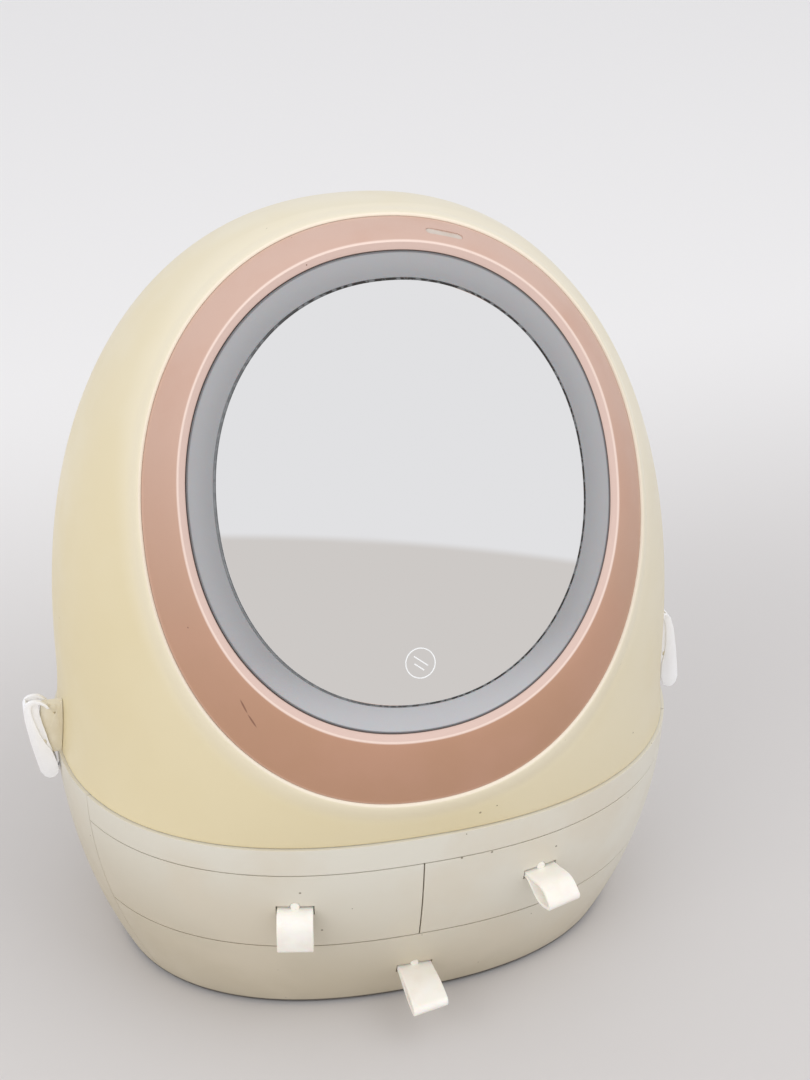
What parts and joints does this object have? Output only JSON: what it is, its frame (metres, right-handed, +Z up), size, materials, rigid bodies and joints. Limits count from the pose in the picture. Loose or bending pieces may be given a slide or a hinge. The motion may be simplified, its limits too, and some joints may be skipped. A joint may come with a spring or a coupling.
{
  "type": "vanity mirror box with drawers",
  "caption": "Egg-shaped vanity box: a hood with a lit oval mirror lifts off a base with drawers; soft loop pulls and a lever latch on each side.",
  "frame": {"origin": "centre of the bounding box at table level, under the feet", "axes": "+X to the right seen from the front, -Y out of the mirror and drawers, +Z up"},
  "size_m": [0.328, 0.2646, 0.366],
  "materials": {
    "hood_plastic": "yellowed injection-moulded ABS, satin gloss",
    "base_plastic": "cream injection-moulded ABS, satin",
    "tray_plastic": "cream moulded polystyrene, satin",
    "frame_plastic": "pink moulded ABS with a glossy lacquer",
    "insert_plastic": "pale moulded plastic",
    "diffuser": "frosted polycarbonate",
    "seal": "dark adhesive seal",
    "mirror": "silvered glass",
    "mark": "printed white mark",
    "strap_rubber": "ivory silicone rubber, matte",
    "latch_plastic": "white moulded ABS, glossy",
    "bracket_plastic": "cream moulded plastic",
    "steel": "plated steel",
    "foot_rubber": "black rubber",
    "housing_plastic": "white moulded ABS",
    "board_white": "white solder mask",
    "board_green": "green solder mask",
    "lamp": "yellow phosphor under clear resin",
    "copper_pad": "copper pad",
    "battery_wrap": "foil wrap",
    "wire_black": "black wire insulation",
    "socket_black": "black moulded plastic"
  },
  "bodies": {
    "base": {"base_shell": "base_plastic", "front_band": "base_plastic", "bottom_plate": "base_plastic", "middle_shelf": "tray_plastic", "centre_divider": "tray_plastic", "top_deck": "tray_plastic", "organiser_tray": "tray_plastic", "drawer_runners": "tray_plastic", "feet": "foot_rubber", "base_screws": "steel", "left_catch": "latch_plastic", "right_catch": "latch_plastic"},
    "left_drawer": {"left_drawer_front": "base_plastic", "left_drawer_tray": "tray_plastic", "left_pull_strap": "strap_rubber", "left_strap_pin": "steel"},
    "right_drawer": {"right_drawer_front": "base_plastic", "right_drawer_tray": "tray_plastic", "right_pull_strap": "strap_rubber", "right_strap_pin": "steel"},
    "lower_drawer": {"lower_drawer_front": "base_plastic", "lower_drawer_tray": "tray_plastic", "lower_pull_strap": "strap_rubber", "lower_strap_pin": "steel"},
    "hood": {"hood_shell": "hood_plastic", "hood_skirt": "hood_plastic", "mirror_collar": "hood_plastic", "mirror_frame": "frame_plastic", "frame_insert": "insert_plastic", "light_diffuser": "diffuser", "mirror_seal": "seal", "mirror_glass": "mirror", "touch_mark": "mark", "touch_pad": "copper_pad", "lamp_housing": "housing_plastic", "lamp_board": "board_white", "lamps": "lamp", "control_board": "board_green", "battery_pack": "battery_wrap", "charging_wire": "wire_black", "charging_socket": "socket_black", "hood_screws": "steel", "left_latch_bracket": "bracket_plastic", "left_latch_pin": "bracket_plastic", "right_latch_bracket": "bracket_plastic", "right_latch_pin": "bracket_plastic"},
    "left_latch": {"left_latch_lever": "latch_plastic"},
    "right_latch": {"right_latch_lever": "latch_plastic"}
  },
  "joints": [
    {"name": "left_drawer_slide", "type": "slide", "parent": "base", "child": "left_drawer", "axis": [0, -1, 0], "range_m": [0, 0.11]},
    {"name": "right_drawer_slide", "type": "slide", "parent": "base", "child": "right_drawer", "axis": [0, -1, 0], "range_m": [0, 0.11]},
    {"name": "lower_drawer_slide", "type": "slide", "parent": "base", "child": "lower_drawer", "axis": [0, -1, 0], "range_m": [0, 0.1]},
    {"name": "hood_lift", "type": "slide", "parent": "base", "child": "hood", "axis": [0, 0, 1], "range_m": [0, 0.26]},
    {"name": "left_latch_hinge", "type": "hinge", "parent": "hood", "child": "left_latch", "pos_m": [-0.1565, -0.0025, 0.118], "axis": [0, 1, 0], "range_deg": [0, 20]},
    {"name": "right_latch_hinge", "type": "hinge", "parent": "hood", "child": "right_latch", "pos_m": [0.1565, -0.0025, 0.118], "axis": [0, -1, 0], "range_deg": [-18, 2]}
  ]
}
